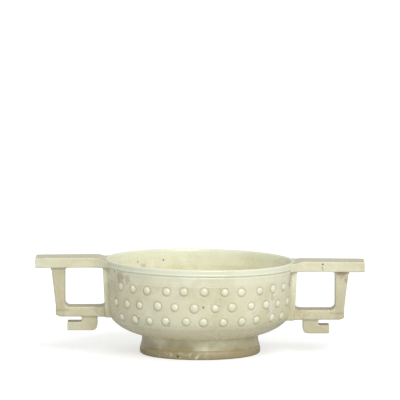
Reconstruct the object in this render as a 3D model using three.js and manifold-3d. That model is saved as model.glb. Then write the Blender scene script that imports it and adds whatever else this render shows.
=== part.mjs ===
// Two-handled jade cup: a round bowl with studded walls on a low foot ring, with a ring handle at each side.
// Millimetres, +Z up, the foot rests on z = 0, the handles lie along X and the front looks along -Y.
import * as THREE from "three";
import { mergeVertices } from "three/addons/utils/BufferGeometryUtils.js";
import Module from "manifold-3d";

const wasm = await Module();
wasm.setup();

// Driving dimensions of the bowl
const rimHeight = 42.75;
const rimRadius = 43.2;
const lipHeight = 3.2;
const lipProud = 0.35;
const wallAtRim = 1.4;
const wallAtBelly = 2.6;
const bellyHeight = 15.7;
const bellyRadius = 40.3;
const floorHeight = 13.5;
const rimLean = 0.7;
const leanStart = 19;
const turnSegments = 56;

// Driving dimensions of the foot
const footHeight = 9;
const footNeckRadius = 26.8;
const footBaseRadius = 27.5;
const footWall = 3.6;
const footBeadHeight = 3.6;
const footEdge = 0.7;

// Driving dimensions of the studs in the wall
const studDiameter = 3.4;
const studProud = 1;
const studPitch = 12;
const studShift = 2.6;
const studRowHeights = [32.6, 25.5, 18.9];
const studCounts = [11, 12, 11];
const studSides = 8;
const studRings = 4;

// Driving dimensions of the handles
const handleReach = 75;
const plateTopAboveRim = 0.75;
const plateThickness = 4.7;
const plateHalfWidth = 7.4;
const plateFlare = 4.6;
const plateRootBeyondRim = 3.8;
const plateLean = 0.95;
const postOuterReach = 67.8;
const postThickness = 6.2;
const postTaper = 2.1;
const postHalfWidth = 5.4;
const postFillet = 1.7;
const postFlare = 0.7;
const barTop = 20.9;
const barThickness = 4.7;
const barHalfWidth = 5;
const barRootBeyondRim = 2.3;
const barLean = 0.75;
const hookInner = 46.9;
const hookStem = 7.2;
const hookFootLeft = 13.6;
const hookFootRight = 12.1;
const hookFootThickness = 3.9;
const hookGap = 2.4;
const hookHalfWidth = 4.2;
const hookCorner = 2.2;
const strapProud = 0.6;
const strapHalfWidth = 8.2;
const barCorner = 1.5;
const plateCorner = 1.4;
const edgeRound = 0.5;
const curveSteps = 4;

// Sizes worked out from the driving ones
const plateTop = rimHeight + plateTopAboveRim;
const plateBottom = plateTop - plateThickness;
const barBottom = barTop - barThickness;
const hookBottom = barBottom - hookGap - hookFootThickness;
const insideWall = bellyRadius * 0.8;
const plateRootReach = rimRadius + plateRootBeyondRim;
const barRootReach = rimRadius + barRootBeyondRim;

const sides = [
  { name: "left", sign: -1, lean: 1, hookFoot: hookFootLeft },
  { name: "right", sign: 1, lean: -1, hookFoot: hookFootRight },
];

// Solids

function solidOf(geometry) {
  const bare = geometry.clone();
  bare.deleteAttribute("normal");
  bare.deleteAttribute("uv");
  const merged = mergeVertices(bare, 1e-4);
  const index = merged.index.array;
  const kept = [];
  for (let i = 0; i < index.length; i += 3) {
    const [a, b, c] = [index[i], index[i + 1], index[i + 2]];
    if (a !== b && b !== c && c !== a) {
      kept.push(a, b, c);
    }
  }
  const points = new Float32Array(merged.attributes.position.array);
  if (signedVolume(points, kept) < 0) {
    for (let i = 0; i < kept.length; i += 3) {
      [kept[i + 1], kept[i + 2]] = [kept[i + 2], kept[i + 1]];
    }
  }
  return new wasm.Manifold(
    new wasm.Mesh({ numProp: 3, vertProperties: points, triVerts: new Uint32Array(kept) }),
  );
}

function signedVolume(points, index) {
  let volume = 0;
  const [a, b, c] = [new THREE.Vector3(), new THREE.Vector3(), new THREE.Vector3()];
  for (let i = 0; i < index.length; i += 3) {
    a.fromArray(points, 3 * index[i]);
    b.fromArray(points, 3 * index[i + 1]);
    c.fromArray(points, 3 * index[i + 2]);
    volume += a.dot(b.cross(c)) / 6;
  }
  return volume;
}

function geometryOf(solid) {
  const mesh = solid.getMesh();
  const points = new Float32Array((mesh.vertProperties.length / mesh.numProp) * 3);
  for (let i = 0; i < points.length / 3; i += 1) {
    for (let axis = 0; axis < 3; axis += 1) {
      points[3 * i + axis] = mesh.vertProperties[mesh.numProp * i + axis];
    }
  }
  const geometry = new THREE.BufferGeometry();
  geometry.setAttribute("position", new THREE.BufferAttribute(points, 3));
  geometry.setIndex(Array.from(mesh.triVerts));
  geometry.computeVertexNormals();
  return geometry;
}

function turned(profile) {
  const points = profile.map(([radius, height]) => new THREE.Vector2(radius, height));
  const geometry = new THREE.LatheGeometry(points, turnSegments);
  geometry.rotateX(Math.PI / 2);
  return geometry;
}

// A slab whose outline lies in X and Z, centred on Y = 0, with its long edges eased
function slab(outline, halfWidth) {
  const geometry = new THREE.ExtrudeGeometry(outline, {
    depth: 2 * (halfWidth - edgeRound),
    bevelEnabled: true,
    bevelThickness: edgeRound,
    bevelSize: edgeRound,
    bevelOffset: -edgeRound,
    bevelSegments: 1,
    curveSegments: curveSteps,
  });
  geometry.translate(0, 0, -(halfWidth - edgeRound));
  geometry.rotateX(Math.PI / 2);
  return geometry;
}

function onSide(geometry, side, lift) {
  if (side.sign < 0) {
    geometry.rotateZ(Math.PI);
  }
  geometry.translate(0, 0, side.lean * lift);
  return geometry;
}

// The rim leans a little to one side, and the lean fades out towards the lower wall
function leanRim(geometry) {
  const position = geometry.attributes.position;
  for (let i = 0; i < position.count; i += 1) {
    const height = position.getZ(i);
    const share = THREE.MathUtils.smoothstep(height, leanStart, rimHeight);
    position.setZ(i, height - (rimLean * share * position.getX(i)) / rimRadius);
  }
  return geometry;
}

// Bowl

const outerProfile = [
  [0, footHeight],
  [footNeckRadius + 0.3, footHeight],
  [bellyRadius - 9, footHeight + 1.05],
  [bellyRadius - 5.6, footHeight + 2.4],
  [bellyRadius - 2.4, footHeight + 4.5],
  [bellyRadius, bellyHeight],
  [bellyRadius + 1.1, bellyHeight + 2.6],
  [bellyRadius + 1.9, bellyHeight + 7.3],
  [rimRadius - lipProud - 0.4, rimHeight - 16],
  [rimRadius - lipProud - 0.2, rimHeight - 7.35],
  [rimRadius - lipProud, rimHeight - 7.1],
  [rimRadius - lipProud, rimHeight - lipHeight - 0.2],
  [rimRadius, rimHeight - lipHeight + 0.2],
  [rimRadius, rimHeight - 0.5],
  [rimRadius - 0.4, rimHeight],
  [0, rimHeight],
];

function wallRadius(height) {
  const after = outerProfile.findIndex(([, z], i) => i > 1 && z >= height);
  const [r0, z0] = outerProfile[after - 1];
  const [r1, z1] = outerProfile[after];
  return r0 + ((r1 - r0) * (height - z0)) / (z1 - z0);
}

const cavityProfile = [
  [0, floorHeight],
  [bellyRadius - 22, floorHeight + 0.3],
  [bellyRadius - 12, floorHeight + 2],
  [bellyRadius - 5.2, floorHeight + 6],
  [bellyRadius - wallAtBelly + 0.6, floorHeight + 12],
  [rimRadius - lipProud - wallAtRim - 0.6, rimHeight - 12],
  [rimRadius - wallAtRim - 0.2, rimHeight - 4],
  [rimRadius - wallAtRim, rimHeight - 0.4],
  [rimRadius - wallAtRim + 0.4, rimHeight],
  [rimRadius - wallAtRim + 0.4, rimHeight + 8],
  [0, rimHeight + 8],
];

function stud(angle, height) {
  const radius = studDiameter / 2;
  const geometry = new THREE.SphereGeometry(radius, studSides, studRings);
  geometry.scale(1, studProud / radius, 1);
  geometry.translate(0, -wallRadius(height), height);
  geometry.rotateZ(angle);
  return geometry;
}

function studs() {
  const made = [];
  for (const turn of [0, 180]) {
    studRowHeights.forEach((height, row) => {
      const count = studCounts[row];
      const first = studShift - (studPitch * (count - 1)) / 2;
      for (let i = 0; i < count; i += 1) {
        const angle = turn + first + i * studPitch;
        made.push(solidOf(stud(THREE.MathUtils.degToRad(angle), height)));
      }
    });
  }
  return made;
}

function strapOutline() {
  const outline = new THREE.Shape();
  const top = plateBottom + plateLean;
  outline.moveTo(insideWall, barBottom);
  outline.lineTo(wallRadius(barBottom) + strapProud, barBottom);
  outline.lineTo(rimRadius + strapProud, top);
  outline.lineTo(insideWall, top);
  outline.closePath();
  return outline;
}

// Thumb plate and its root, as one slab that lies flat, in plan

function plateSlab(from, to) {
  const plan = new THREE.Shape();
  const start = Math.max(from, insideWall);
  const rootHalf = plateHalfWidth + plateFlare;
  if (from < rimRadius) {
    plan.moveTo(start, -rootHalf);
    plan.lineTo(rimRadius - 2.6, -rootHalf);
    plan.quadraticCurveTo(rimRadius + 0.6, -plateHalfWidth, to, -plateHalfWidth);
    plan.lineTo(to, plateHalfWidth);
    plan.quadraticCurveTo(rimRadius + 0.6, plateHalfWidth, rimRadius - 2.6, rootHalf);
    plan.lineTo(start, rootHalf);
  } else {
    plan.moveTo(from, -plateHalfWidth);
    plan.lineTo(to - plateCorner, -plateHalfWidth);
    plan.lineTo(to, -plateHalfWidth + plateCorner);
    plan.lineTo(to, plateHalfWidth - plateCorner);
    plan.lineTo(to - plateCorner, plateHalfWidth);
    plan.lineTo(from, plateHalfWidth);
  }
  plan.closePath();
  const geometry = new THREE.ExtrudeGeometry(plan, {
    depth: plateThickness,
    bevelEnabled: false,
    curveSegments: curveSteps,
  });
  geometry.translate(0, 0, plateBottom);
  return geometry;
}

function barOutline(from, to, corner) {
  const outline = new THREE.Shape();
  outline.moveTo(from, barBottom);
  outline.lineTo(to - corner, barBottom);
  if (corner > 0) {
    outline.quadraticCurveTo(to, barBottom, to, barBottom + corner);
  }
  outline.lineTo(to, barTop);
  outline.lineTo(from, barTop);
  outline.closePath();
  return outline;
}

function postOutline(lowEnd, highEnd) {
  const inner = postOuterReach - postThickness;
  const outline = new THREE.Shape();
  outline.moveTo(postOuterReach - postTaper, lowEnd);
  outline.lineTo(postOuterReach, highEnd - postFillet);
  outline.quadraticCurveTo(postOuterReach, highEnd, postOuterReach + postFlare, highEnd);
  outline.lineTo(inner - postFillet, highEnd);
  outline.quadraticCurveTo(inner, highEnd, inner, highEnd - postFillet);
  outline.lineTo(inner, lowEnd + postFillet);
  outline.quadraticCurveTo(inner, lowEnd, inner - postFillet, lowEnd);
  outline.closePath();
  return outline;
}

function hookOutline(foot) {
  const outline = new THREE.Shape();
  const footTop = hookBottom + hookFootThickness;
  outline.moveTo(hookInner, barBottom);
  outline.lineTo(hookInner, hookBottom + hookCorner);
  outline.quadraticCurveTo(hookInner, hookBottom, hookInner + hookCorner, hookBottom);
  outline.lineTo(hookInner + foot, hookBottom);
  outline.lineTo(hookInner + foot, footTop);
  outline.lineTo(hookInner + hookStem, footTop);
  outline.lineTo(hookInner + hookStem, barBottom);
  outline.closePath();
  return outline;
}

// Plain slab without eased edges, for pieces that meet face to face
function plainSlab(outline, halfWidth) {
  const geometry = new THREE.ExtrudeGeometry(outline, {
    depth: 2 * halfWidth,
    bevelEnabled: false,
    curveSegments: curveSteps,
  });
  geometry.translate(0, 0, -halfWidth);
  geometry.rotateX(Math.PI / 2);
  return geometry;
}

function bowlSolid() {
  let body = solidOf(leanRim(turned(outerProfile)));
  for (const side of sides) {
    body = body.add(solidOf(onSide(plateSlab(insideWall, plateRootReach), side, plateLean)));
    body = body.add(solidOf(onSide(slab(strapOutline(), strapHalfWidth), side, 0)));
    const root = barOutline(insideWall, barRootReach, 0);
    body = body.add(solidOf(onSide(plainSlab(root, barHalfWidth), side, barLean)));
  }
  for (const one of studs()) {
    body = body.add(one);
  }
  return body.subtract(solidOf(leanRim(turned(cavityProfile))));
}

const footProfile = [
  [footNeckRadius - footWall, footHeight],
  [footNeckRadius - footWall, footEdge],
  [footNeckRadius - footWall + footEdge, 0],
  [footBaseRadius - footEdge, 0],
  [footBaseRadius, footEdge],
  [footBaseRadius, footBeadHeight - 1.2],
  [footBaseRadius - 0.25, footBeadHeight - 0.2],
  [footBaseRadius - 0.55, footBeadHeight],
  [footBaseRadius - 0.45, footBeadHeight + 0.5],
  [footNeckRadius, footHeight - 2.4],
  [footNeckRadius, footHeight],
];

// Parts

const cup = new THREE.Group();

function addPiece(name, geometry, colour, roughness) {
  const material = new THREE.MeshStandardMaterial({ color: colour, roughness, metalness: 0 });
  const mesh = new THREE.Mesh(geometry, material);
  mesh.name = name;
  cup.add(mesh);
}

addPiece("bowl", geometryOf(bowlSolid()), 0xdedab9, 0.35);
const footRing = turned([...footProfile, footProfile[0]]);
addPiece("foot_ring", geometryOf(solidOf(footRing)), 0xb1a581, 0.5);

for (const side of sides) {
  const plate = onSide(plateSlab(plateRootReach, handleReach), side, plateLean);
  addPiece(`${side.name}_thumb_plate`, geometryOf(solidOf(plate)), 0xe1e1cd, 0.35);

  const low = barTop + side.lean * barLean;
  const high = plateBottom + side.lean * plateLean;
  const post = onSide(plainSlab(postOutline(low, high), postHalfWidth), side, 0);
  addPiece(`${side.name}_outer_post`, geometryOf(solidOf(post)), 0xc8c0a0, 0.4);

  const barEnd = postOuterReach - postTaper;
  const bar = onSide(plainSlab(barOutline(barRootReach, barEnd, barCorner), barHalfWidth), side, barLean);
  addPiece(`${side.name}_lower_bar`, geometryOf(solidOf(bar)), 0xcfc8a6, 0.4);

  const hook = onSide(plainSlab(hookOutline(side.hookFoot), hookHalfWidth), side, barLean);
  addPiece(`${side.name}_scroll_hook`, geometryOf(solidOf(hook)), 0xc8c0a0, 0.4);
}

export default cup;
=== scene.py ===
import math

import bmesh
import bpy
import numpy as np
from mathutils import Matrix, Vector


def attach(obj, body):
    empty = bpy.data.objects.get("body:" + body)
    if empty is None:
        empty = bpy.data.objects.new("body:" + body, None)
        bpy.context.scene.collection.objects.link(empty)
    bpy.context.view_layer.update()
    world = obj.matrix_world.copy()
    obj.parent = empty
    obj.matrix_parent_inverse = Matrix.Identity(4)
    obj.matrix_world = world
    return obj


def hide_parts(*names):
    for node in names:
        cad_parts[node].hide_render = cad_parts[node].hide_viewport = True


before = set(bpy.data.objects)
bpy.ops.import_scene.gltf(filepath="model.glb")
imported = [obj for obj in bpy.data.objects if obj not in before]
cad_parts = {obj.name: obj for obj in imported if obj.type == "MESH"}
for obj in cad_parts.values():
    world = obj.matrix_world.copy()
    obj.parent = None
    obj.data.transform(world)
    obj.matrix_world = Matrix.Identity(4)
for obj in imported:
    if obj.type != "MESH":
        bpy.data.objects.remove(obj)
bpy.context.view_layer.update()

bl_info = {
    "name": "Two-handled jade cup",
    "version": (1, 0, 0),
    "blender": (4, 5, 0),
    "location": "3D View > Sidebar > Jade cup",
    "description": "Carves the bowl, foot and ring handles of a studded jade cup",
    "category": "Add Mesh",
}

MM = 0.001
TINY = 1e-9
WELD = 2e-6

# Bowl, in millimetres unless a name says otherwise
RIM_TOP = 42.75
RIM_RADIUS = 43.2
RIM_LEAN = 0.7
LEAN_START = 19
UNDERSIDE = [(0.0, 9.0), (12.0, 9.0), (22.0, 9.0), (26.8, 9.0), (28.3, 9.15), (30.0, 9.6), (32.3, 10.4)]
BELLY = [(34.4, 11.35), (36.6, 12.6), (38.6, 14.1), (40.2, 15.7), (41.2, 17.6), (41.8, 20.0)]
WALL = [(42.3, 24.0), (42.6, 29.0), (42.75, 33.0), (42.85, 35.1)]
BAND_AND_LIP = [
    (42.72, 35.35), (42.8, 35.6), (42.85, 37.5), (42.9, 38.9), (42.72, 39.3), (42.85, 39.6),
    (43.2, 39.9), (43.22, 40.3), (43.1, 40.7), (43.15, 41.6), (43.12, 42.3), (42.95, 42.65), (42.6, 42.75),
]
INSIDE = [
    (42.1, 42.7), (41.85, 42.45), (41.7, 41.6), (41.5, 38.0), (41.1, 33.0), (40.2, 28.0), (38.6, 23.6),
    (36.0, 20.0), (32.0, 17.0), (26.0, 15.0), (18.0, 13.9), (8.0, 13.55), (0.0, 13.5),
]
MID_WALL_HEIGHTS = [13, 20, 28, 38]
MID_WALL_RADII = [38.5, 40.0, 41.5, 42.2]
LOWER_STEP = 0.9
LIP_STEP = 0.32
INSIDE_STEP = 1.3
BOWL_STEPS_ROUND = 660

# Studs: pitch and shift in degrees, rows as height and count
STUD_PITCH = 12.0
STUD_SHIFT = 2.6
STUD_ROWS = [(32.6, 11), (25.5, 12), (18.9, 11)]
STUD_FIELD = (16.0, 35.0)
ROW_NUMBERING = 3.7
GROOVE_PLACE = 1.18
GROOVE_WIDTH = 0.16
CREST_CURVE = 0.6

# The mesh's note on its studs: 0 in a groove, 0.5 on the plain wall and 1 on a crest
STUD_NOTE = "stud"

# How far the hand strayed from stud to stud: the most, then the pace and start of the wave it follows
STRAY_ANGLE = (0.7, 2.4, 0.0)
STRAY_HEIGHT = (0.25 * MM, 5.1, 1.3)
STRAY_SIZE = (0.07, 3.3, 0.4)

# Foot, with the waves of the chips at its front: round it, up it and across
FOOT = [
    (26.75, 9.2), (26.6, 8.2), (26.55, 6.8), (26.7, 5.4), (27.0, 4.4), (27.15, 3.9), (26.85, 3.6),
    (27.1, 3.3), (27.45, 2.9), (27.52, 2.0), (27.5, 1.0), (27.3, 0.35), (26.75, 0.02), (26.4, 0.0),
    (24.2, 0.0), (23.7, 0.15), (23.4, 0.6), (23.2, 2.0), (23.1, 5.0), (23.1, 9.2),
]
FOOT_STEP = 0.45
FOOT_STEPS_ROUND = 360
CHIP_DEPTH = 0.16
CHIP_ANGLE = 0.25
CHIP_SPREAD = 0.35
CHIP_BAND = (0.6, 1.0, 5.5)
CHIP_WAVES = (97, 7.1, 31)

# Handles: each side's direction along X and which way it leans up or down
SIDES = {"left": (-1.0, 1.0), "right": (1.0, -1.0)}
PLATE_TOP = 43.45
PLATE_LEAN = 0.95
BAR_TOP = 20.9
BAR_LEAN = 0.75
ROOT_START = 36.0
WALL_OVERLAP = 0.8
CUTS = {"plate": 34, "post": 26, "bar": 26, "stem": 14, "hook_foot": 18, "strap": 16}
SOFTENING = {"factor": 0.5, "iterations": 7}
SMOOTH_ANGLE = 50

# Thumb plate
FLARE_START = 50.0
FLARE_LENGTH = 9.0
FLARE_CURVE = 2.2
FLARE_WIDENING = 0.75
ROOT_SINK_START = 46.8
ROOT_SINK = 0.12
END_TAPER_LENGTH = 4
END_TAPER = 0.07
PLATE_DIP_START = 48
PLATE_DIP = 0.25

# Outer post
POST_INNER = 61.6
POST_WIDTH = 6.0
POST_OUTER_LOW = 65.7
POST_OUTWARD_LEAN = 2.1
POST_CORNER = 1.9
POST_FLARE = 0.7
POST_FLARE_RADIUS = 1.6
POST_HALF_DEPTH = 5.4
POST_SEAT = 1.5

# Lower bar
BAR_ROOT = 37
BAR_END = 65.8
BAR_HALF_DEPTH = 5
BAR_FLARE_START = 49.0
BAR_FLARE_LENGTH = 7.0
BAR_FLARE = 0.5
BAR_ROOT_CORNER = 1.8
BAR_UPPER_PART = 2.4
BAR_LOWER_PART = 1.2
BAR_END_ROUND = 2.0
BAR_END_LIFT = 0.8

# Scroll hook
HOOK_REACH = {"left": 60.5, "right": 59.0}
HOOK_INNER = 46.9
HOOK_STEM_END = 54.0
HOOK_BOTTOM = 9.8
HOOK_CORNER = 2.3
HOOK_FOOT_THICKNESS = 3.9
HOOK_HALF_DEPTH = 4.2
HOOK_SEAT = 1

# Strap on the wall
STRAP_WIDTH = 8.0
STRAP_HALF_DEPTH = 8.4
STRAP_HEIGHTS = [16, 22, 39, 44]
STRAP_REACHES = [42.9, 43.4, 44.2, 44.3]
STRAP_SEAT = 1.5

# The shape that a handle's root is cut to
CORE_STEP = 1.2
CORE_STEPS_ROUND = 128
CORE_TOP = 60.0
CORE_SHOULDER = 38.0
CORE_EXTRA = 0.2

# Cloudy patterns in the stone: span is the part of the noise that counts, ends what it is carried to
WIDE_CLOUDS = {"scale": 42.0, "detail": 5.0, "roughness": 0.6, "distortion": 0.6, "span": (0.42, 0.68)}
PALE_CLOUDS = {"scale": 95.0, "detail": 4.0, "roughness": 0.6, "distortion": 0.3, "span": (0.5, 0.72)}
VEINS = {"scale": 60.0, "detail": 3.0, "roughness": 0.5, "distortion": 2.2}
VEIN_PATCHES = {"scale": 28.0, "detail": 2.0, "span": (0.55, 0.7)}
FLECKS = {"scale": 800.0, "detail": 2.0, "span": (0.7, 0.82)}
GRAIN = {"scale": 300.0, "detail": 3.0}
RAGGED_EDGE = {"scale": 700.0, "span": (0.3, 0.7), "ends": (-0.35, 0.35)}
UNEVEN_STUDS = {"scale": 110.0, "span": (0.35, 0.65), "ends": (0.25, 0.6)}
BROWN_AND_SHADE_EDGE = {"scale": 90.0, "detail": 2.0, "span": (0.2, 0.8), "ends": (-3 * MM, 3 * MM)}
CRUST_GRAINS = {"scale": 520.0, "detail": 6.0, "roughness": 0.7, "span": (0.5, 0.62)}

# How strongly a pattern shows
PALE_SHARE = 0.6
VEIN_SHARE = 0.28
FLECK_SHARE = 0.1
CRUST_SHARE = 0.85

# Where a tint starts and where it is full, and its ends if they aren't 0 and 1
VEIN_LINE = (0.012, 0.0)
SPOT_EDGE = (1.1, 0.35)
STUD_CREST = (0.56, 0.95)
STUD_GROOVE = (0.46, 0.1, 0.0, 0.42)
FACING_UP = (0.35, 0.8, 0.0, 0.8)
GRAIN_SPAN = (0.3, 0.7)

# The same for heights in millimetres, or for a reach sideways, with a strength
# Painted light: the bowl's low belly painted paler, in place of light thrown up from the floor
BELLY_UNDERLIGHT_BAND = (17.0, 10.5, 0.75)
# Painted light: the plain band and the lip paler, as if lit through the thin stone near the rim
PLAIN_BAND_GLOW = (34.6, 36.0, 0.35)
LIP_GLOW_BAND = (39.2, 40.4, 0.35)
LOOP_LEDGES = (27.0, 24.0, 1.0)
# Painted shade on the handles: darker plate tops, and the outer posts darker under the plates
PLATE_TOPS_SHADE = (38.0, 41.0, 0.56)
POST_SHADOW_REACH = (60.5, 62.5, 1.0)
SHADOW_UNDER_PLATES = (39.0, 36.5, 0.34)
# Browner and darker low on the foot and handles: partly the stone's brown tinge, partly painted shade
FOOT_BROWN_AND_SHADE = (10.0, 2.5, 0.92)
HANDLE_BROWN_AND_SHADE = (36.0, 8.0, 0.42)
CRUST_BAND = (4.6, 2.6, 1.0)

# Surface of the stone
ROUGHNESS = {"bowl": 0.28, "foot": 0.42, "handles": 0.3}
POLISH_SPREAD = (-0.06, 0.08)
CRUST_ROUGHNESS = 0.3
CRUST_PLACE = (-6 * MM, -27 * MM, 2.0 * MM)
CRUST_REACH = 15 * MM
BUMP_STRENGTH = 0.05
BUMP_DEPTH = 0.0003
JADE_IOR = 1.6
GLOW_WEIGHT = 0.15
GLOW_COLOURS = (1.0, 0.9, 0.6)
GLOW_DEPTH = 0.0015

# Stage
CAMERA_AWAY = 2.0
CAMERA_RISE = math.radians(7.3)
AXIS_DOWN = math.radians(5.92)
SENSOR = 36
PICTURE_SIDE = 400
PIXELS_PER_METRE = 2187
CUP_MIDDLE = 21.5 * MM
FLOOR_SIZE = 14
FLOOR_MIDDLE = (0, 3, -0.00002)
FLOOR_GREY = 0.6
FLOOR_ROUGHNESS = 0.9
FLOOR_GLOW = 0.56
KEY_PLACE = (0.3, -1.0, 0.6)
KEY_STRENGTH = 1.55
KEY_SPREAD = math.radians(35)
GLINT_PLACE = (0.35, -0.5, 0.9)
GLINT_POWER = 1.6
GLINT_SIZE = 0.16
ROOM_LIGHT = 0.62
FARTHEST_SEEN = 50


def srgb(red, green, blue):
    """A colour as seen on a screen, 0 to 255, in the linear values that the shaders use."""

    def linear(value):
        share = value / 255
        return share / 12.92 if share <= 0.04045 else ((share + 0.055) / 1.055) ** 2.4

    return (linear(red), linear(green), linear(blue))


# Painted light: paler jade for the bowl's low belly, standing in for light from the floor
UNDERLIGHT_PAINT = srgb(244, 234, 200)
# Painted light: whiter stud crests, as if lit through the stone
CREST_GLOW_PAINT = srgb(243, 241, 226)
# Painted light: a paler lip, as if lit through the thin rim
LIP_GLOW_PAINT = srgb(232, 238, 220)


def length(name, description, value):
    """A size that the sidebar shows, in metres."""
    return bpy.props.FloatProperty(
        name=name, description=description, default=value, min=0.0, unit="LENGTH", precision=5
    )


def colour(name, description, value):
    """A colour that the sidebar shows."""
    return bpy.props.FloatVectorProperty(
        name=name, description=description, default=value, size=3, min=0.0, max=1.0, subtype="COLOR"
    )


class JadeBowlSizes(bpy.types.PropertyGroup):
    """Sizes of the bowl and its studs"""

    rim_height: length("Rim height", "Top of the lip above the table", RIM_TOP * MM)
    rim_radius: length("Rim radius", "Outside of the lip", RIM_RADIUS * MM)
    rim_lean: length("Rim lean", "How far the rim rises to the left", RIM_LEAN * MM)
    stud_radius: length("Stud radius", "Half a stud's width", 1.66 * MM)
    stud_proud: length("Stud height", "How far a stud stands out of the wall", 0.62 * MM)
    groove_depth: length("Ring groove", "Depth of the groove round a stud", 0.2 * MM)
    row_step: length("Mesh step", "Spacing of the mesh rows in the studded field", 0.36 * MM)


class JadeHandleSizes(bpy.types.PropertyGroup):
    """Sizes that the two handles share"""

    reach: length("Reach", "From the middle of the cup to a handle's end", 75 * MM)
    plate_half_width: length("Plate half width", "Half of a thumb plate's width", 7.4 * MM)
    plate_thickness: length("Plate thickness", "Thumb plate's thickness", 4.7 * MM)
    bar_thickness: length("Bar thickness", "Lower bar's thickness", 4.7 * MM)
    voxel: length("Voxel", "Grain of the mesh that joins a handle's members", 0.32 * MM)


class JadeColours(bpy.types.PropertyGroup):
    """Colours of the stone"""

    light: colour("Light jade", "Palest clouds in the stone", srgb(233, 234, 214))
    body: colour("Jade", "The stone's main colour", srgb(221, 219, 190))
    deep: colour("Deep jade", "Darker clouds", srgb(207, 203, 169))
    # Brown jade, also used to paint shade: on the plates' tops, on the posts under the plates, at the
    # bars' roots and low down
    brown_and_shade: colour("Browned and shaded jade", "Stone stained by burial", srgb(162, 148, 108))
    stain: colour("Stain", "Brown stains and veins", srgb(150, 112, 66))
    dark: colour("Pit", "Dark dots and pits", srgb(92, 74, 52))
    crust: colour("Crust", "Pale crust on the foot", srgb(214, 209, 190))


# Mesh helpers


def smooth_path(points, step):
    """Points along a soft curve through the given ones, about a step apart."""
    path = np.array(points, dtype=float)
    ahead = np.vstack([path[1:], path[-1:]])
    behind = np.vstack([path[:1], path[:-1]])
    slope = (ahead - behind) / 2
    made = [path[0]]
    for k in range(len(path) - 1):
        span = np.linalg.norm(path[k + 1] - path[k])
        near = min(1.0, span / max(np.linalg.norm(slope[k]), TINY))
        far = min(1.0, span / max(np.linalg.norm(slope[k + 1]), TINY))
        count = max(1, int(math.ceil(span / step)))
        for i in range(1, count + 1):
            t = i / count
            made.append(
                (2 * t**3 - 3 * t**2 + 1) * path[k]
                + (t**3 - 2 * t**2 + t) * slope[k] * near
                + (3 * t**2 - 2 * t**3) * path[k + 1]
                + (t**3 - t**2) * slope[k + 1] * far
            )
    return made


def smoothstep(value, low, high):
    """0 at low, 1 at high, with an easy start and end."""
    share = np.clip((value - low) / (high - low), 0.0, 1.0)
    return share * share * (3 - 2 * share)


def corner_reach(away, radius):
    """How far a rounded inside corner stands out, this far from the corner."""
    near = np.clip(radius - np.maximum(away, 0), 0, radius)
    return radius - np.sqrt(np.maximum(radius**2 - near**2, 0))


def deselect_all():
    """Leave nothing selected, in object mode."""
    if bpy.context.object and bpy.context.object.mode != "OBJECT":
        bpy.ops.object.mode_set(mode="OBJECT")
    bpy.ops.object.select_all(action="DESELECT")


def make_active(piece):
    """Select one piece alone."""
    deselect_all()
    piece.select_set(True)
    bpy.context.view_layer.objects.active = piece


def read_points(piece):
    """The places of a piece's vertices, one row each."""
    flat = np.empty(len(piece.data.vertices) * 3)
    piece.data.vertices.foreach_get("co", flat)
    return flat.reshape(-1, 3)


def write_points(piece, points):
    """Move a piece's vertices to these places."""
    piece.data.vertices.foreach_set("co", points.reshape(-1))
    piece.data.update()


def scale_outwards(points, share):
    """Move points to or from the upright axis, each to its own share of its radius."""
    points[:, 0] *= share
    points[:, 1] *= share


def round_place(points):
    """Each point's radius from the upright axis and its angle from the front, towards +X."""
    radius = np.hypot(points[:, 0], points[:, 1])
    angle = np.arctan2(points[:, 0], -points[:, 1])
    return radius, angle


def spun(name, profile, steps, closed=False):
    """A body turned round the upright axis from a profile in millimetres."""
    deselect_all()
    mesh = bpy.data.meshes.new(name)
    piece = bpy.data.objects.new(name, mesh)
    bpy.context.scene.collection.objects.link(piece)
    shape = bmesh.new()
    line = [shape.verts.new((radius * MM, 0, height * MM)) for radius, height in profile]
    for a, b in zip(line, line[1:]):
        shape.edges.new((a, b))
    if closed:
        shape.edges.new((line[-1], line[0]))
    shape.to_mesh(mesh)
    shape.free()
    make_active(piece)
    bpy.ops.object.mode_set(mode="EDIT")
    bpy.ops.mesh.select_all(action="SELECT")
    bpy.ops.mesh.spin(steps=steps, angle=2 * math.pi, center=(0, 0, 0), axis=(0, 0, 1))
    bpy.ops.mesh.select_all(action="SELECT")
    bpy.ops.mesh.remove_doubles(threshold=WELD)
    bpy.ops.mesh.normals_make_consistent(inside=False)
    bpy.ops.object.mode_set(mode="OBJECT")
    bpy.ops.object.shade_smooth()
    return piece


# Bowl


def stray(number, most, pace, start):
    """How far the hand strayed at a stud, worked out from the stud's number."""
    return most * np.sin(number * pace + start)


def stud_relief(angle, height, radius, sizes):
    """How far the wall stands out at each point, for the studs and the shallow groove round each."""
    relief = np.zeros_like(angle)
    for row_height, count in STUD_ROWS:
        first = STUD_SHIFT - STUD_PITCH * (count - 1) / 2
        for turn in (0.0, 180.0):
            turned = (angle - turn + 180.0) % 360.0 - 180.0
            nearest = np.clip(np.round((turned - first) / STUD_PITCH), 0, count - 1)
            number = nearest + ROW_NUMBERING * row_height + turn
            sideways = np.radians(turned - (first + nearest * STUD_PITCH) - stray(number, *STRAY_ANGLE))
            upwards = height - row_height * MM - stray(number, *STRAY_HEIGHT)
            own_radius = sizes.stud_radius * (1 + stray(number, *STRAY_SIZE))
            away = np.hypot(sideways * radius, upwards) / own_radius
            dome = np.sqrt(np.clip(1 - away**2, 0, 1)) * sizes.stud_proud
            ring = np.exp(-(((away - GROOVE_PLACE) / GROOVE_WIDTH) ** 2)) * sizes.groove_depth
            relief += dome - ring
    return relief


def lean(points, sizes):
    """Lift the rim to the left, fading out towards the lower wall."""
    share = smoothstep(points[:, 2], LEAN_START * MM, sizes.rim_height)
    points[:, 2] -= sizes.rim_lean * share * points[:, 0] / sizes.rim_radius
    return points


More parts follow.
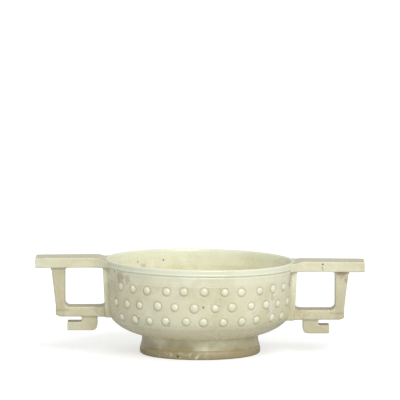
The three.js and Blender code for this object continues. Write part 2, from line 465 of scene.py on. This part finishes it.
def bowl_profile(field_step):
    """The bowl's wall from the middle of its underside, over the lip and down to its floor."""
    lower = smooth_path(UNDERSIDE + BELLY, LOWER_STEP)
    below = [point for point in lower if point[1] <= STUD_FIELD[0]]
    field_start = [point for point in BELLY if point[1] > STUD_FIELD[0]]
    field = smooth_path([below[-1]] + field_start, field_step)
    wall = smooth_path([BELLY[-1]] + WALL, field_step)
    lip = smooth_path([WALL[-1]] + BAND_AND_LIP, LIP_STEP)
    inside = smooth_path([BAND_AND_LIP[-1]] + INSIDE, INSIDE_STEP)
    return below + field[1:] + wall[1:] + lip[1:] + inside[1:]


def carve_bowl(sizes):
    """The bowl, with its studs raised in the mesh and noted for the material."""
    bowl = spun("fine_bowl", bowl_profile(sizes.row_step / MM), BOWL_STEPS_ROUND)
    points = read_points(bowl)
    radius, angle = round_place(points)
    height = points[:, 2]
    outside = (height > STUD_FIELD[0] * MM) & (height < STUD_FIELD[1] * MM)
    outside &= radius > np.interp(height / MM, MID_WALL_HEIGHTS, MID_WALL_RADII) * MM
    relief = np.where(outside, stud_relief(np.degrees(angle), height, radius, sizes), 0.0)
    scale_outwards(points, 1 + relief / np.maximum(radius, TINY))
    write_points(bowl, lean(points, sizes))
    crest = np.clip(relief / sizes.stud_proud, 0, 1) ** CREST_CURVE
    ring = np.clip(-relief / sizes.groove_depth, 0, 1)
    note = bowl.data.attributes.new(STUD_NOTE, "FLOAT", "POINT")
    note.data.foreach_set("value", (0.5 + 0.5 * crest - 0.5 * ring).astype(np.float32))
    return bowl


# Foot


def carve_foot():
    """The foot ring with its bead, a little chipped at the front."""
    foot = spun("fine_foot", smooth_path(FOOT, FOOT_STEP), FOOT_STEPS_ROUND, closed=True)
    points = read_points(foot)
    radius, angle = round_place(points)
    height = points[:, 2]
    edge, full, end = (limit * MM for limit in CHIP_BAND)
    front = np.exp(-(((angle + CHIP_ANGLE) / CHIP_SPREAD) ** 2))
    low = smoothstep(height, end, full) * smoothstep(height, 0.0, edge)
    around, upward, across = CHIP_WAVES
    grain = np.sin(angle * around) * np.sin(height / MM * upward + angle * across)
    chip = np.maximum(grain, 0) * front * low * CHIP_DEPTH * MM
    scale_outwards(points, 1 - chip / np.maximum(radius, TINY))
    points[:, 2] = np.maximum(points[:, 2], 0.0)
    write_points(foot, points)
    return foot


# Handles, each member made for the right side and in millimetres


def member(name, low, high, shape):
    """A block between two corners, subdivided and shaped by a function of its points."""
    deselect_all()
    low, high = Vector(low) * MM, Vector(high) * MM
    bpy.ops.mesh.primitive_cube_add(size=1, location=(low + high) / 2, scale=high - low)
    piece = bpy.context.object
    piece.name = name
    bpy.ops.object.transform_apply(location=True, rotation=True, scale=True)
    bpy.ops.object.mode_set(mode="EDIT")
    bpy.ops.mesh.select_all(action="SELECT")
    bpy.ops.mesh.subdivide(number_cuts=CUTS[name])
    bpy.ops.object.mode_set(mode="OBJECT")
    write_points(piece, shape(read_points(piece) / MM) * MM)
    return piece


def plate_member(low, top, half, reach, drop):
    """The thumb plate, flared and let down into the rim at its root."""

    def flare(points):
        near = np.clip((FLARE_START - points[:, 0]) / FLARE_LENGTH, 0, 1)
        points[:, 1] *= 1 + near**FLARE_CURVE * FLARE_WIDENING
        upper = smoothstep(points[:, 2], low, top)
        sink = smoothstep(points[:, 0], ROOT_SINK_START, RIM_RADIUS)
        points[:, 2] -= (drop + ROOT_SINK) * upper * sink
        end = smoothstep(points[:, 0], reach - END_TAPER_LENGTH, reach)
        points[:, 1] *= 1 - END_TAPER * end
        points[:, 2] -= PLATE_DIP * smoothstep(points[:, 0], PLATE_DIP_START, reach)
        return points

    return member("plate", (ROOT_START, -half, low), (reach, half, top), flare)


def post_member(high, low):
    """The post between bar and plate, leaning outwards, with rounded corners in the loop."""

    def shape(points):
        share = (points[:, 0] - POST_INNER) / POST_WIDTH
        down = high - points[:, 2]
        up = points[:, 2] - low
        inner = POST_INNER - corner_reach(np.minimum(down, up), POST_CORNER)
        outer = POST_OUTER_LOW + POST_OUTWARD_LEAN * np.clip(up / (high - low), 0, 1)
        outer = outer + POST_FLARE * corner_reach(down, POST_FLARE_RADIUS)
        points[:, 0] = inner + share * (outer - inner)
        return points

    start = (POST_INNER, -POST_HALF_DEPTH, low - POST_SEAT)
    end = (POST_INNER + POST_WIDTH, POST_HALF_DEPTH, high + POST_SEAT)
    return member("post", start, end, shape)


def bar_member(low, top):
    """The bar under the loop, wider at the wall and rounded under its end."""

    def shape(points):
        near = np.clip((BAR_FLARE_START - points[:, 0]) / BAR_FLARE_LENGTH, 0, 1)
        points[:, 1] *= 1 + BAR_FLARE * near**2
        upper = points[:, 2] > low + BAR_UPPER_PART
        rise = corner_reach(points[:, 0] - RIM_RADIUS, BAR_ROOT_CORNER)
        points[:, 2] += np.where(upper, rise, 0)
        end = smoothstep(points[:, 0], BAR_END - BAR_END_ROUND, BAR_END)
        lower = points[:, 2] < low + BAR_LOWER_PART
        points[:, 2] += np.where(lower, BAR_END_LIFT * end, 0)
        return points

    return member("bar", (BAR_ROOT, -BAR_HALF_DEPTH, low), (BAR_END, BAR_HALF_DEPTH, top), shape)


def hook_members(bottom, bar_low, reach):
    """The scroll under the bar: a short stem and a foot that points outwards."""

    def round_corner(points):
        near = np.clip(HOOK_CORNER - (points[:, 2] - bottom), 0, HOOK_CORNER)
        pull = HOOK_CORNER - np.sqrt(np.maximum(HOOK_CORNER**2 - near**2, 0))
        share = np.clip((reach - points[:, 0]) / (reach - HOOK_INNER), 0, 1)
        points[:, 0] += pull * share**3
        return points

    start = (HOOK_INNER, -HOOK_HALF_DEPTH, bottom)
    stem_end = (HOOK_STEM_END, HOOK_HALF_DEPTH, bar_low + HOOK_SEAT)
    foot_end = (reach, HOOK_HALF_DEPTH, bottom + HOOK_FOOT_THICKNESS)
    stem = member("stem", start, stem_end, round_corner)
    return [stem, member("hook_foot", start, foot_end, round_corner)]


def strap_member(low, top):
    """The flat strap on the wall, which closes the ring."""

    def shape(points):
        share = (points[:, 0] - ROOT_START) / STRAP_WIDTH
        outer = np.interp(points[:, 2], STRAP_HEIGHTS, STRAP_REACHES)
        points[:, 0] = ROOT_START + share * (outer - ROOT_START)
        return points

    start = (ROOT_START, -STRAP_HALF_DEPTH, low)
    return member("strap", start, (ROOT_START + STRAP_WIDTH, STRAP_HALF_DEPTH, top), shape)


def bowl_core():
    """The bowl's outside, drawn in a little and carried up past the rim, to cut a handle's root to."""
    outline = smooth_path(UNDERSIDE + BELLY + WALL, CORE_STEP)
    outline = [(max(0.0, radius - WALL_OVERLAP), height) for radius, height in outline]
    neck = RIM_RADIUS - WALL_OVERLAP - CORE_EXTRA
    top = [(neck, CORE_SHOULDER), (neck, CORE_TOP), (0.0, CORE_TOP)]
    return spun("core", outline + top, CORE_STEPS_ROUND)


def handle_members(side, rise, sizes):
    """All members of one handle, at their heights on this side."""
    plate_top = PLATE_TOP + rise * PLATE_LEAN
    plate_low = PLATE_TOP - sizes.plate_thickness / MM + rise * PLATE_LEAN
    bar_top = BAR_TOP + rise * BAR_LEAN
    bar_low = BAR_TOP - sizes.bar_thickness / MM + rise * BAR_LEAN
    drop = plate_top - (RIM_TOP + rise * RIM_LEAN)
    half = sizes.plate_half_width / MM
    return [
        plate_member(plate_low, plate_top, half, sizes.reach / MM, drop),
        post_member(plate_low, bar_top),
        bar_member(bar_low, bar_top),
        *hook_members(HOOK_BOTTOM + rise * BAR_LEAN, bar_low, HOOK_REACH[side]),
        strap_member(bar_low, plate_low + STRAP_SEAT),
    ]


def apply_modifier(piece, name, kind, **settings):
    """Put a modifier on a piece, set it and apply it."""
    modifier = piece.modifiers.new(name, kind)
    for setting, value in settings.items():
        setattr(modifier, setting, value)
    bpy.ops.object.modifier_apply(modifier=modifier.name)


def carve_handle(side, sizes):
    """One handle: its members joined, their edges eased and the root fitted to the wall."""
    sign, rise = SIDES[side]
    members = handle_members(side, rise, sizes)
    deselect_all()
    for piece in members:
        piece.select_set(True)
    handle = members[0]
    bpy.context.view_layer.objects.active = handle
    bpy.ops.object.join()
    handle.name = f"{side}_handle"
    points = read_points(handle)
    points[:, :2] *= sign
    write_points(handle, points)
    make_active(handle)
    apply_modifier(handle, "Members joined", "REMESH", mode="VOXEL", voxel_size=sizes.voxel)
    apply_modifier(handle, "Edges eased", "SMOOTH", **SOFTENING)
    core = bowl_core()
    make_active(handle)
    fitting = {"operation": "DIFFERENCE", "solver": "EXACT", "object": core}
    apply_modifier(handle, "Root fitted to the wall", "BOOLEAN", **fitting)
    bpy.data.objects.remove(core)
    make_active(handle)
    bpy.ops.object.shade_smooth_by_angle(angle=math.radians(SMOOTH_ANGLE))
    return handle


# Shader helpers


def new_group(name, inputs, outputs):
    """An empty shader group with its sockets, and its two end nodes."""
    group = bpy.data.node_groups.new(name, "ShaderNodeTree")
    for label, kind, value in inputs:
        socket = group.interface.new_socket(name=label, in_out="INPUT", socket_type=kind)
        if value is not None:
            socket.default_value = value
    for label, kind in outputs:
        group.interface.new_socket(name=label, in_out="OUTPUT", socket_type=kind)
    start = group.nodes.new("NodeGroupInput")
    end = group.nodes.new("NodeGroupOutput")
    return group, start, end


def group_node(tree, group, vector):
    """A group placed in a material and given the surface's coordinates."""
    node = tree.nodes.new("ShaderNodeGroup")
    node.node_tree = group
    tree.links.new(vector, node.inputs["Vector"])
    return node


def plug(tree, socket, value):
    """Give a socket a link or a plain value."""
    if isinstance(value, bpy.types.NodeSocket):
        tree.links.new(value, socket)
    else:
        socket.default_value = value


def noise(tree, vector, scale, detail=4.0, roughness=0.55, distortion=0.0, span=None, ends=(0.0, 1.0)):
    """Cloudy noise, plain or with a span of its values carried to the ends."""
    node = tree.nodes.new("ShaderNodeTexNoise")
    node.inputs["Scale"].default_value = scale
    node.inputs["Detail"].default_value = detail
    node.inputs["Roughness"].default_value = roughness
    node.inputs["Distortion"].default_value = distortion
    tree.links.new(vector, node.inputs["Vector"])
    clouds = node.outputs["Fac"]
    return map_range(tree, clouds, *span, *ends) if span else clouds


def map_range(tree, value, low, high, to_low=0.0, to_high=1.0):
    """A value carried smoothly from one range to another."""
    node = tree.nodes.new("ShaderNodeMapRange")
    node.interpolation_type = "SMOOTHSTEP"
    node.inputs["From Min"].default_value = low
    node.inputs["From Max"].default_value = high
    node.inputs["To Min"].default_value = to_low
    node.inputs["To Max"].default_value = to_high
    tree.links.new(value, node.inputs["Value"])
    return node.outputs["Result"]


def band(tree, value, start, full, strength):
    """0 where a band starts and its strength where it is full, both places in millimetres."""
    return map_range(tree, value, start * MM, full * MM, 0.0, strength)


def mix(tree, share, first, second):
    """Two colours mixed, each a socket or a plain colour."""
    node = tree.nodes.new("ShaderNodeMix")
    node.data_type = "RGBA"
    plug(tree, node.inputs[0], share)
    for socket, value in ((node.inputs[6], first), (node.inputs[7], second)):
        plain = not isinstance(value, bpy.types.NodeSocket)
        plug(tree, socket, (*value, 1.0) if plain else value)
    return node.outputs[2]


def maths(tree, operation, first, second=0.0):
    """One sum of two values."""
    node = tree.nodes.new("ShaderNodeMath")
    node.operation = operation
    plug(tree, node.inputs[0], first)
    plug(tree, node.inputs[1], second)
    return node.outputs[0]


def times(tree, first, second):
    """Two values multiplied."""
    return maths(tree, "MULTIPLY", first, second)


def clouds_group():
    """Soft clouds of lighter and deeper jade, thin brown veins and fine flecks."""
    colours = ("Light", "Body", "Deep", "Vein")
    inputs = [("Vector", "NodeSocketVector", None)]
    inputs += [(label, "NodeSocketColor", None) for label in colours]
    outputs = [("Colour", "NodeSocketColor"), ("Grain", "NodeSocketFloat")]
    group, start, end = new_group("Jade clouds", inputs, outputs)
    vector = start.outputs["Vector"]
    light, body, deep, vein_colour = (start.outputs[label] for label in colours)
    from_vein = maths(group, "ABSOLUTE", maths(group, "SUBTRACT", noise(group, vector, **VEINS), 0.5))
    vein = times(group, map_range(group, from_vein, *VEIN_LINE), noise(group, vector, **VEIN_PATCHES))
    pale = times(group, noise(group, vector, **PALE_CLOUDS), PALE_SHARE)
    flecks = times(group, noise(group, vector, **FLECKS), FLECK_SHARE)
    surface = mix(group, noise(group, vector, **WIDE_CLOUDS), body, deep)
    surface = mix(group, pale, surface, light)
    surface = mix(group, times(group, vein, VEIN_SHARE), surface, vein_colour)
    surface = mix(group, flecks, surface, vein_colour)
    group.links.new(surface, end.inputs["Colour"])
    group.links.new(noise(group, vector, **GRAIN), end.inputs["Grain"])
    return group


def spot_group():
    """A ragged spot about one point of the surface."""
    inputs = [
        ("Vector", "NodeSocketVector", None),
        ("Centre", "NodeSocketVector", None),
        ("Radius", "NodeSocketFloat", MM),
    ]
    group, start, end = new_group("Stone spot", inputs, [("Mask", "NodeSocketFloat")])
    vector = start.outputs["Vector"]
    away = group.nodes.new("ShaderNodeVectorMath")
    away.operation = "DISTANCE"
    group.links.new(vector, away.inputs[0])
    group.links.new(start.outputs["Centre"], away.inputs[1])
    share = maths(group, "DIVIDE", away.outputs["Value"], start.outputs["Radius"])
    ragged = maths(group, "ADD", share, noise(group, vector, **RAGGED_EDGE))
    group.links.new(map_range(group, ragged, *SPOT_EDGE), end.inputs["Mask"])
    return group


def shader_groups():
    """The two groups that every jade shares, made once."""
    clouds = bpy.data.node_groups.get("Jade clouds") or clouds_group()
    spot = bpy.data.node_groups.get("Stone spot") or spot_group()
    return clouds, spot


# Finishes


def on_wall(degrees, height, radius=42.6):
    """A point on the bowl's outside, at an angle from the front and a height in millimetres."""
    angle = math.radians(degrees)
    return (radius * math.sin(angle), -radius * math.cos(angle), height)


# Spots, each with its place and radius in millimetres, its strength and its colour
BOWL_SPOTS = [
    (on_wall(-64, 39.8, 43.2), 0.7, 0.9, "dark"),
    (on_wall(-58, 37.0), 3.6, 0.45, "stain"),
    (on_wall(-50, 36.6), 2.4, 0.35, "stain"),
    (on_wall(74, 36.5), 3.0, 0.5, "stain"),
    (on_wall(72, 33.0), 2.6, 0.45, "stain"),
    (on_wall(-41.5, 19.6, 41.8), 0.55, 0.9, "dark"),
    (on_wall(-19.4, 18.4, 41.8), 0.8, 0.7, "stain"),
    (on_wall(-19.8, 16.8, 41.2), 0.6, 0.6, "stain"),
    (on_wall(2.2, 25.9), 0.6, 0.8, "dark"),
    (on_wall(50, 28.6), 1.9, 0.3, "stain"),
    (on_wall(47, 22.8), 1.6, 0.3, "stain"),
    (on_wall(12.8, 12.9, 36.8), 0.45, 0.9, "dark"),
    ((-29, 30, 38), 0.6, 0.9, "dark"),
    ((-17, 37.8, 38), 0.6, 0.9, "dark"),
    ((-26.5, 32, 35.5), 2.2, 0.35, "stain"),
]
FOOT_SPOTS = [
    ((-10, -25.5, 1.6), 0.9, 0.8, "dark"),
    ((-0.5, -27.3, 1.2), 0.8, 0.8, "dark"),
]
HANDLE_SPOTS = [
    ((66.5, -6.5, 35.5), 1.3, 0.7, "stain"),
    ((64.5, -5.4, 36.8), 2.6, 0.45, "stain"),
    ((66.8, -5.4, 33.5), 1.6, 0.45, "stain"),
    ((55.8, -7.4, 41.2), 0.6, 0.9, "dark"),
    ((55.6, -7.4, 39.6), 0.5, 0.7, "stain"),
    ((55.9, -7.4, 38.6), 0.45, 0.7, "stain"),
    # Painted shade in the hollows where the lower bars meet the bowl's wall
    ((46, -3, 20), 5.0, 0.4, "brown_and_shade"),
    ((-46, -3, 21), 5.0, 0.3, "brown_and_shade"),
]


def tint_bowl(tree, where, surface, height, colours):
    """Painted light on the bowl: paler stud crests, lip and plain band, painted as light through the thin
    stone, darker grooves round the studs, and paler stone low down, painted for the light that the floor
    throws up.
    """
    stud = tree.nodes.new("ShaderNodeAttribute")
    stud.attribute_name = STUD_NOTE
    raised = stud.outputs["Fac"]
    crest = times(tree, map_range(tree, raised, *STUD_CREST), noise(tree, where, **UNEVEN_STUDS))
    ring = map_range(tree, raised, *STUD_GROOVE)
    # Painted light: paler low on the belly, for the light that the floor throws up
    surface = mix(tree, band(tree, height, *BELLY_UNDERLIGHT_BAND), surface, UNDERLIGHT_PAINT)
    # Painted light: stud crests whiter, standing in for light through the stone
    surface = mix(tree, crest, surface, CREST_GLOW_PAINT)
    surface = mix(tree, ring, surface, colours.brown_and_shade)
    # Painted light: the plain band paler, as if lit through the thin wall
    surface = mix(tree, band(tree, height, *PLAIN_BAND_GLOW), surface, colours.light)
    # Painted light: the lip paler, as if lit through the thin rim
    return mix(tree, band(tree, height, *LIP_GLOW_BAND), surface, LIP_GLOW_PAINT)


def tint_handles(tree, where, surface, height, colours):
    """Browner on the up-facing ledges in the finger loops, and painted shade on the plates' up-facing tops
    and on the outer posts under the plates' overhang.
    """
    facing = tree.nodes.new("ShaderNodeSeparateXYZ")
    tree.links.new(tree.nodes.new("ShaderNodeNewGeometry").outputs["Normal"], facing.inputs[0])
    along = tree.nodes.new("ShaderNodeSeparateXYZ")
    tree.links.new(where, along.inputs[0])
    up = map_range(tree, facing.outputs["Z"], *FACING_UP)
    outer = band(tree, maths(tree, "ABSOLUTE", along.outputs["X"]), *POST_SHADOW_REACH)
    ledges = times(tree, up, band(tree, height, *LOOP_LEDGES))
    # Painted shade: the plates' up-facing tops darker
    shaded_tops = times(tree, up, band(tree, height, *PLATE_TOPS_SHADE))
    # Painted shadow: the outer posts darker under the plates' overhang
    post_shadow = times(tree, outer, band(tree, height, *SHADOW_UNDER_PLATES))
    for darkened in (ledges, shaded_tops, post_shadow):
        surface = mix(tree, darkened, surface, colours.brown_and_shade)
    return surface


def brown_and_shade_below(tree, where, surface, height, colours, brown_and_shade):
    """Browner, darker stone towards the bottom, with an uneven edge: partly the stone's brown tinge,
    partly painted shade low down.
    """
    uneven = maths(tree, "ADD", height, noise(tree, where, **BROWN_AND_SHADE_EDGE))
    return mix(tree, band(tree, uneven, *brown_and_shade), surface, colours.brown_and_shade)


def add_spots(tree, where, surface, colours, spot, spots):
    """Pits, stains and patches of painted shade at their places."""
    for centre, radius, amount, shade in spots:
        mark = group_node(tree, spot, where)
        mark.inputs["Centre"].default_value = [place * MM for place in centre]
        mark.inputs["Radius"].default_value = radius * MM
        share = times(tree, mark.outputs["Mask"], amount)
        surface = mix(tree, share, surface, getattr(colours, shade))
    return surface


def crust_cover(tree, where, height, spot):
    """Where the pale crust clings, low on the front of the foot."""
    near = group_node(tree, spot, where)
    near.inputs["Centre"].default_value = CRUST_PLACE
    near.inputs["Radius"].default_value = CRUST_REACH
    grains = times(tree, noise(tree, where, **CRUST_GRAINS), near.outputs["Mask"])
    return times(tree, grains, band(tree, height, *CRUST_BAND))


def jade(name, colours, spots, roughness, brown_and_shade=None, crust=False, tint=None):
    """Polished jade with its clouds, its stains and patches of painted shade at the given spots, and a
    fine grain.
    """
    clouds, spot = shader_groups()
    material = bpy.data.materials.new(name)
    material.use_nodes = True
    tree = material.node_tree
    shader = tree.nodes["Principled BSDF"]
    where = tree.nodes.new("ShaderNodeTexCoord").outputs["Object"]
    place = tree.nodes.new("ShaderNodeSeparateXYZ")
    tree.links.new(where, place.inputs[0])
    height = place.outputs["Z"]
    base = group_node(tree, clouds, where)
    tints = {"Light": colours.light, "Body": colours.body, "Deep": colours.deep, "Vein": colours.stain}
    for label, value in tints.items():
        base.inputs[label].default_value = (*value, 1.0)
    surface = base.outputs["Colour"]
    if brown_and_shade:
        surface = brown_and_shade_below(tree, where, surface, height, colours, brown_and_shade)
    if tint:
        surface = tint(tree, where, surface, height, colours)
    surface = add_spots(tree, where, surface, colours, spot, spots)
    polish = [roughness + stray for stray in POLISH_SPREAD]
    rough = map_range(tree, base.outputs["Grain"], *GRAIN_SPAN, *polish)
    if crust:
        cover = crust_cover(tree, where, height, spot)
        surface = mix(tree, times(tree, cover, CRUST_SHARE), surface, colours.crust)
        rough = maths(tree, "ADD", rough, times(tree, cover, CRUST_ROUGHNESS))
    tree.links.new(surface, shader.inputs["Base Color"])
    tree.links.new(rough, shader.inputs["Roughness"])
    bump = tree.nodes.new("ShaderNodeBump")
    bump.inputs["Strength"].default_value = BUMP_STRENGTH
    bump.inputs["Distance"].default_value = BUMP_DEPTH
    tree.links.new(base.outputs["Grain"], bump.inputs["Height"])
    tree.links.new(bump.outputs["Normal"], shader.inputs["Normal"])
    shader.inputs["IOR"].default_value = JADE_IOR
    shader.inputs["Subsurface Weight"].default_value = GLOW_WEIGHT
    shader.inputs["Subsurface Radius"].default_value = GLOW_COLOURS
    shader.inputs["Subsurface Scale"].default_value = GLOW_DEPTH
    return material


def floor_paint():
    """White paint that shows a soft shadow and stays white to the eye."""
    material = bpy.data.materials.new("White floor")
    material.use_nodes = True
    tree = material.node_tree
    shader = tree.nodes["Principled BSDF"]
    shader.inputs["Base Color"].default_value = (FLOOR_GREY, FLOOR_GREY, FLOOR_GREY, 1)
    shader.inputs["Roughness"].default_value = FLOOR_ROUGHNESS
    shader.inputs["Specular IOR Level"].default_value = 0.0
    shader.inputs["Emission Color"].default_value = (1, 1, 1, 1)
    seen = tree.nodes.new("ShaderNodeLightPath").outputs["Is Camera Ray"]
    tree.links.new(times(tree, seen, FLOOR_GLOW), shader.inputs["Emission Strength"])
    return material


def dress(piece, material, nodes):
    """Give a piece its finish, and say what it rides on and stands for."""
    piece.data.materials.clear()
    piece.data.materials.append(material)
    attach(piece, "root")
    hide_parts(*nodes)


# Stage


def lamp(name, kind, energy, place, target):
    """A lamp at a place, turned to a target."""
    data = bpy.data.lights.new(name, kind)
    data.energy = energy
    made = bpy.data.objects.new(name, data)
    bpy.context.scene.collection.objects.link(made)
    made.location = place
    made.rotation_euler = (Vector(target) - Vector(place)).to_track_quat("-Z", "Y").to_euler()
    return data


def soft_light(middle):
    """A wide soft key from the front right, and a small lamp for the glints on the studs."""
    key = lamp("key", "SUN", KEY_STRENGTH, KEY_PLACE, (0, 0, 0))
    key.angle = KEY_SPREAD
    glint = lamp("glint", "AREA", GLINT_POWER, GLINT_PLACE, middle)
    glint.shape = "DISK"
    glint.size = GLINT_SIZE
    world = bpy.data.worlds.new("soft room")
    bpy.context.scene.world = world
    world.use_nodes = True
    room = world.node_tree.nodes["Background"]
    room.inputs["Color"].default_value = (1, 1, 1, 1)
    room.inputs["Strength"].default_value = ROOM_LIGHT


def place_camera(middle):
    """The photograph's long lens, a little above the cup."""
    camera = bpy.data.objects.new("camera", bpy.data.cameras.new("camera"))
    bpy.context.scene.collection.objects.link(camera)
    away = Vector((0, -math.cos(CAMERA_RISE), math.sin(CAMERA_RISE))) * CAMERA_AWAY
    camera.location = middle + away
    camera.rotation_euler = (math.pi / 2 - AXIS_DOWN, 0, 0)
    camera.data.sensor_width = SENSOR
    camera.data.lens = PIXELS_PER_METRE * CAMERA_AWAY / PICTURE_SIDE * SENSOR
    camera.data.clip_end = FARTHEST_SEEN
    bpy.context.scene.camera = camera


class JADECUP_OT_stage(bpy.types.Operator):
    """Set the floor, the soft light and the camera"""

    bl_idname = "jadecup.stage"
    bl_label = "Stage"

    def execute(self, context):
        deselect_all()
        bpy.ops.mesh.primitive_plane_add(size=FLOOR_SIZE, location=FLOOR_MIDDLE)
        floor = context.object
        floor.name = "floor"
        floor.data.materials.append(floor_paint())
        middle = Vector((0, 0, CUP_MIDDLE))
        place_camera(middle)
        soft_light(middle)
        context.scene.view_settings.view_transform = "Standard"
        return {"FINISHED"}


class JADECUP_OT_bowl(bpy.types.Operator):
    """Carve the studded bowl"""

    bl_idname = "jadecup.bowl"
    bl_label = "Bowl"

    def execute(self, context):
        colours = context.scene.jade_colours
        bowl = carve_bowl(context.scene.jade_bowl)
        stone = jade("Jade of the bowl", colours, BOWL_SPOTS, ROUGHNESS["bowl"], tint=tint_bowl)
        dress(bowl, stone, ["bowl"])
        return {"FINISHED"}


class JADECUP_OT_foot(bpy.types.Operator):
    """Turn the foot ring with its bead"""

    bl_idname = "jadecup.foot"
    bl_label = "Foot ring"

    def execute(self, context):
        colours = context.scene.jade_colours
        foot = carve_foot()
        finish = {"roughness": ROUGHNESS["foot"], "brown_and_shade": FOOT_BROWN_AND_SHADE, "crust": True}
        # The foot's browner, darker stone is partly painted shade
        stone = jade("Browned and shaded jade of the foot", colours, FOOT_SPOTS, **finish)
        dress(foot, stone, ["foot_ring"])
        return {"FINISHED"}


class JADECUP_OT_handles(bpy.types.Operator):
    """Carve the two ring handles with their thumb plates and scrolls"""

    bl_idname = "jadecup.handles"
    bl_label = "Handles"

    def execute(self, context):
        colours = context.scene.jade_colours
        finish = {"roughness": ROUGHNESS["handles"], "brown_and_shade": HANDLE_BROWN_AND_SHADE, "tint": tint_handles}
        stone = jade("Jade of the handles", colours, HANDLE_SPOTS, **finish)
        for side in SIDES:
            handle = carve_handle(side, context.scene.jade_handles)
            parts = ("thumb_plate", "outer_post", "lower_bar", "scroll_hook")
            dress(handle, stone, [f"{side}_{part}" for part in parts])
        return {"FINISHED"}


class JADECUP_PT_panel(bpy.types.Panel):
    """Buttons for each piece of the cup, with its sizes and colours"""

    bl_label = "Jade cup"
    bl_idname = "JADECUP_PT_panel"
    bl_space_type = "VIEW_3D"
    bl_region_type = "UI"
    bl_category = "Jade cup"

    def draw(self, context):
        scene = context.scene
        for operator in OPERATORS:
            self.layout.operator(operator.bl_idname)
        for group in (scene.jade_bowl, scene.jade_handles, scene.jade_colours):
            for name in group.__annotations__:
                self.layout.prop(group, name)


OPERATORS = [JADECUP_OT_stage, JADECUP_OT_bowl, JADECUP_OT_foot, JADECUP_OT_handles]
CLASSES = [JadeBowlSizes, JadeHandleSizes, JadeColours, *OPERATORS, JADECUP_PT_panel]


def register():
    for one in CLASSES:
        bpy.utils.register_class(one)
    bpy.types.Scene.jade_bowl = bpy.props.PointerProperty(type=JadeBowlSizes)
    bpy.types.Scene.jade_handles = bpy.props.PointerProperty(type=JadeHandleSizes)
    bpy.types.Scene.jade_colours = bpy.props.PointerProperty(type=JadeColours)


def unregister():
    del bpy.types.Scene.jade_colours
    del bpy.types.Scene.jade_handles
    del bpy.types.Scene.jade_bowl
    for one in reversed(CLASSES):
        bpy.utils.unregister_class(one)


def main():
    register()
    bpy.ops.jadecup.stage()
    bpy.ops.jadecup.bowl()
    bpy.ops.jadecup.foot()
    bpy.ops.jadecup.handles()


if __name__ == "__main__":
    main()
